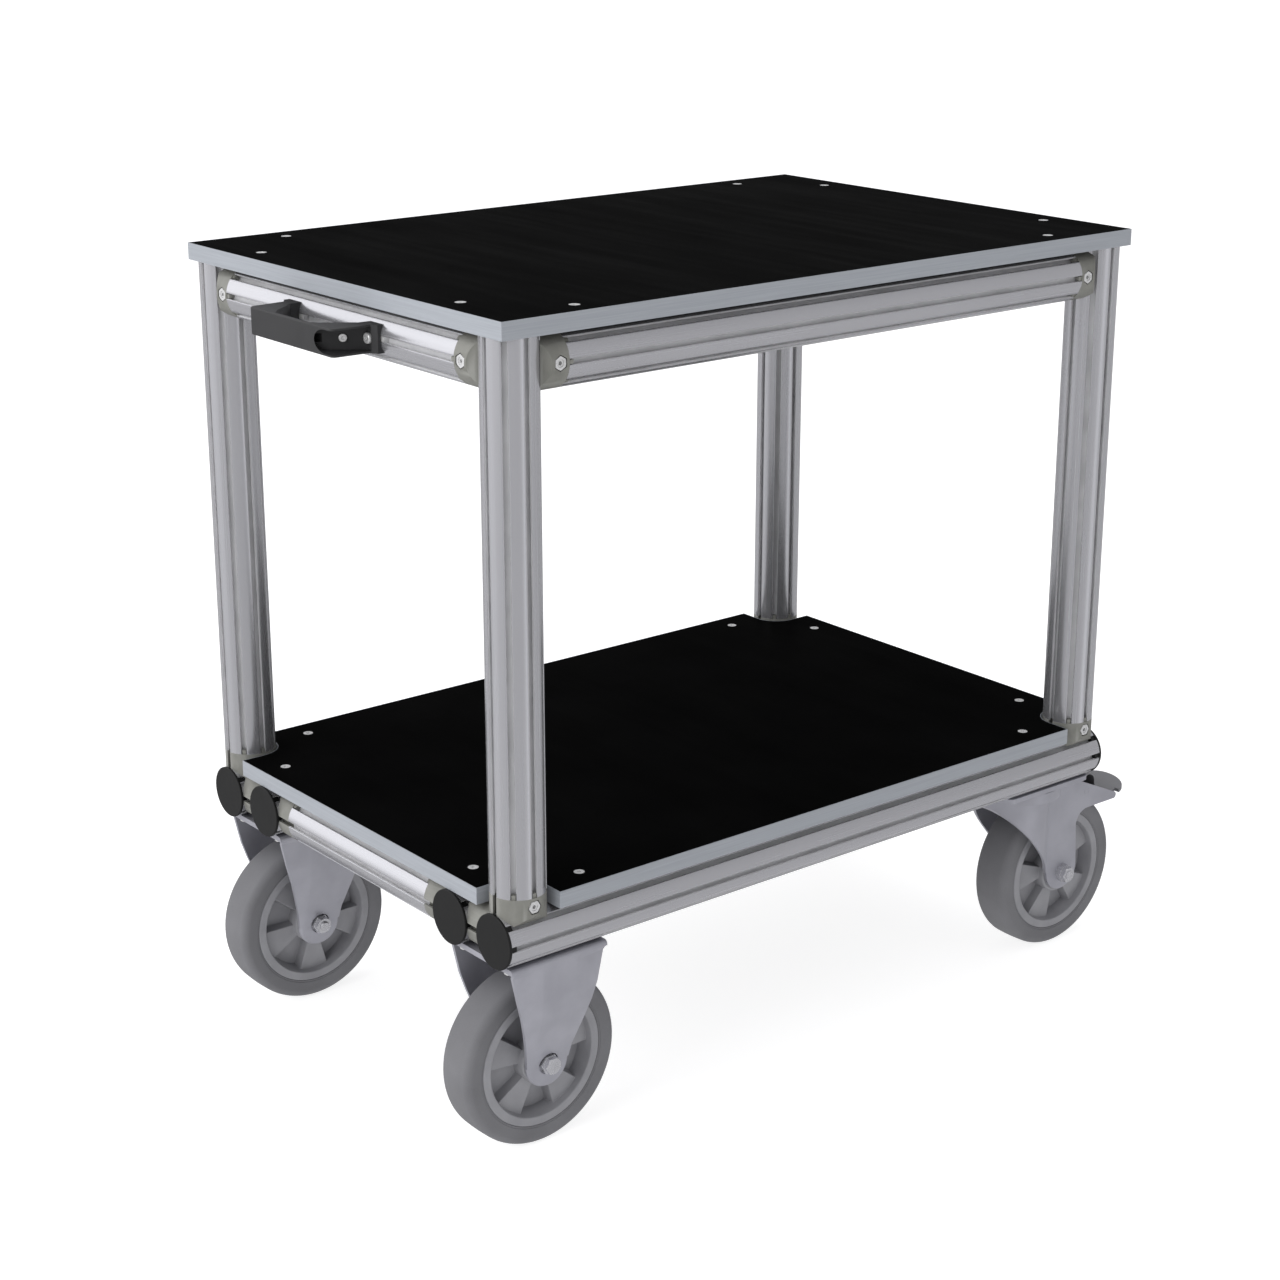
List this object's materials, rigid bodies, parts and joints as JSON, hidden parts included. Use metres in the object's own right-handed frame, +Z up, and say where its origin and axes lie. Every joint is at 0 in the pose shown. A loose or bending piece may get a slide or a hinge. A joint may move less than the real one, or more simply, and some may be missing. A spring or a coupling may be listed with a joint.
{
  "type": "platform trolley",
  "caption": "Two-deck platform trolley of round slotted aluminium profile with dark boards, a push handle, fixed rear casters and braked swivelling front casters.",
  "frame": {"origin": "on the floor under the middle of the overall length and width", "axes": "+X forwards, away from the push handle, +Y to the left, +Z up"},
  "size_m": [1.056, 0.6008, 0.917],
  "materials": {
    "board": "dark laminate with a fine grain, semi-gloss",
    "edge_band": "smooth pale grey",
    "profile": "natural anodised, fine drawing lines",
    "casting": "warm grey powder coat on a casting",
    "fastener": "zinc plated",
    "end_cap": "black, finely textured",
    "handle": "black, finely textured",
    "fork_steel": "zinc plated pressed sheet",
    "pedal": "zinc plated",
    "tyre": "grey rubber",
    "rim": "grey moulded polyamide",
    "bearing": "ground steel"
  },
  "bodies": {
    "frame": {"top_board": "board", "shelf_board": "board", "top_board_edge": "edge_band", "shelf_board_edge": "edge_band", "post_rear_right": "profile", "post_rear_left": "profile", "post_front_right": "profile", "post_front_left": "profile", "top_rail_right": "profile", "top_rail_left": "profile", "top_rail_rear": "profile", "top_rail_front": "profile", "base_rail_outer_right": "profile", "base_rail_outer_left": "profile", "base_rail_inner_right": "profile", "base_rail_inner_left": "profile", "base_cross_rail_rear": "profile", "base_cross_rail_front": "profile", "top_rail_connectors": "casting", "post_foot_connectors": "casting", "base_cross_connectors": "casting", "base_rail_spacers": "casting", "clamp_screws": "fastener", "board_screws": "fastener", "handle_screws": "fastener", "slot_nuts": "fastener", "caster_bolts": "fastener", "rail_end_caps": "end_cap", "push_handle": "handle", "rear_right_fork": "fork_steel", "rear_right_axle": "fastener", "front_right_swivel_plate": "fork_steel", "front_right_kingpin": "fastener", "front_right_swivel_balls": "bearing", "rear_left_fork": "fork_steel", "rear_left_axle": "fastener", "front_left_swivel_plate": "fork_steel", "front_left_kingpin": "fastener", "front_left_swivel_balls": "bearing"},
    "rear_right_wheel": {"rear_right_tyre": "tyre", "rear_right_rim": "rim", "rear_right_bearings": "bearing"},
    "front_right_swivel": {"front_right_fork": "fork_steel", "front_right_pedal_pin": "fastener", "front_right_axle": "fastener"},
    "front_right_wheel": {"front_right_tyre": "tyre", "front_right_rim": "rim", "front_right_bearings": "bearing"},
    "front_right_pedal": {"front_right_brake_pedal": "pedal"},
    "rear_left_wheel": {"rear_left_tyre": "tyre", "rear_left_rim": "rim", "rear_left_bearings": "bearing"},
    "front_left_swivel": {"front_left_fork": "fork_steel", "front_left_pedal_pin": "fastener", "front_left_axle": "fastener"},
    "front_left_wheel": {"front_left_tyre": "tyre", "front_left_rim": "rim", "front_left_bearings": "bearing"},
    "front_left_pedal": {"front_left_brake_pedal": "pedal"}
  },
  "joints": [
    {"name": "rear_right_wheel_spin", "type": "hinge", "parent": "frame", "child": "rear_right_wheel", "pos_m": [-0.406, -0.23, 0.1], "axis": [0, 1, 0], "continuous": true},
    {"name": "front_right_swivel_turn", "type": "hinge", "parent": "frame", "child": "front_right_swivel", "pos_m": [0.354, -0.23, 0.222], "axis": [0, 0, 1], "continuous": true},
    {"name": "front_right_wheel_spin", "type": "hinge", "parent": "front_right_swivel", "child": "front_right_wheel", "pos_m": [0.408, -0.23, 0.1], "axis": [0, 1, 0], "continuous": true},
    {"name": "front_right_pedal_press", "type": "hinge", "parent": "front_right_swivel", "child": "front_right_pedal", "pos_m": [0.448, -0.23, 0.2], "axis": [0, 1, 0], "range_deg": [0, 8]},
    {"name": "rear_left_wheel_spin", "type": "hinge", "parent": "frame", "child": "rear_left_wheel", "pos_m": [-0.406, 0.23, 0.1], "axis": [0, 1, 0], "continuous": true},
    {"name": "front_left_swivel_turn", "type": "hinge", "parent": "frame", "child": "front_left_swivel", "pos_m": [0.354, 0.23, 0.222], "axis": [0, 0, 1], "continuous": true},
    {"name": "front_left_wheel_spin", "type": "hinge", "parent": "front_left_swivel", "child": "front_left_wheel", "pos_m": [0.408, 0.23, 0.1], "axis": [0, 1, 0], "continuous": true},
    {"name": "front_left_pedal_press", "type": "hinge", "parent": "front_left_swivel", "child": "front_left_pedal", "pos_m": [0.448, 0.23, 0.2], "axis": [0, 1, 0], "range_deg": [0, 8]}
  ]
}
